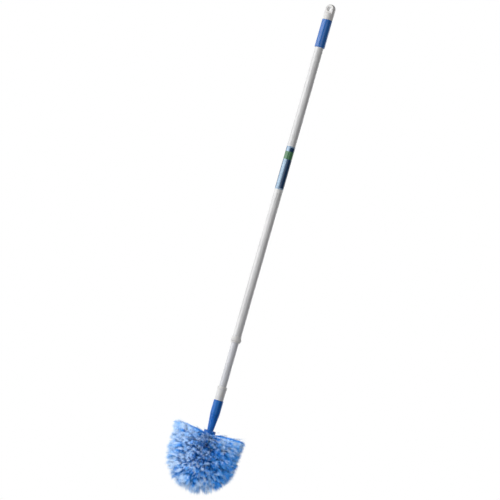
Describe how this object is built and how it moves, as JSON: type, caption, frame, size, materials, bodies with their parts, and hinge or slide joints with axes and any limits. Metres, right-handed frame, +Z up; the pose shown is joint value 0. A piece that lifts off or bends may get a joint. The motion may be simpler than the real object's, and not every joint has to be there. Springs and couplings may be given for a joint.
{
  "type": "telescopic cobweb brush",
  "caption": "Domed cobweb brush that screws onto a two-stage telescopic pole with a twist lock, a sleeve grip and a hang hole.",
  "frame": {"origin": "centre of the hang hole, on the pole's axis", "axes": "+Z up the pole towards its hanging end, +Y along the hang hole; the brush hangs down along -Z"},
  "size_m": [0.1922, 0.1922, 1.2812],
  "materials": {
    "white_plastic": "satin moulded",
    "blue_grip": "glossy",
    "coated_steel": "glossy coated",
    "label_film": "glossy film",
    "blue_block": "semi-gloss moulded",
    "bristle": "fine filaments",
    "lock_plastic": "moulded",
    "cam_plastic": "moulded",
    "anchor_wire": "bright"
  },
  "bodies": {
    "outer_pole": {"outer_tube": "coated_steel", "hang_cap": "white_plastic", "grip_sleeve": "blue_grip", "label_sleeve": "label_film", "guide_collar": "white_plastic"},
    "lock_cam": {"lock_cam": "cam_plastic"},
    "inner_pole": {"inner_tube": "coated_steel", "lock_plug": "lock_plastic", "thread_ferrule": "white_plastic"},
    "brush_head": {"brush_block": "blue_block", "tuft_anchors": "anchor_wire", "tuft_row_1": "bristle", "tuft_row_2": "bristle", "tuft_row_3": "bristle", "tuft_row_4": "bristle", "tuft_row_5": "bristle", "tuft_dome_1": "bristle", "tuft_dome_2": "bristle", "tuft_dome_3": "bristle", "tuft_tip": "bristle"}
  },
  "joints": [
    {"name": "pole_slide", "type": "slide", "parent": "outer_pole", "child": "lock_cam", "axis": [0, 0, -1], "range_m": [0, 0.7]},
    {"name": "lock_twist", "type": "hinge", "parent": "lock_cam", "child": "inner_pole", "pos_m": [0.0007, 0, -0.0638], "axis": [0, 0, 1], "range_deg": [-40, 40]},
    {"name": "head_release", "type": "slide", "parent": "inner_pole", "child": "brush_head", "axis": [0, 0, -1], "range_m": [0, 0.045]}
  ]
}
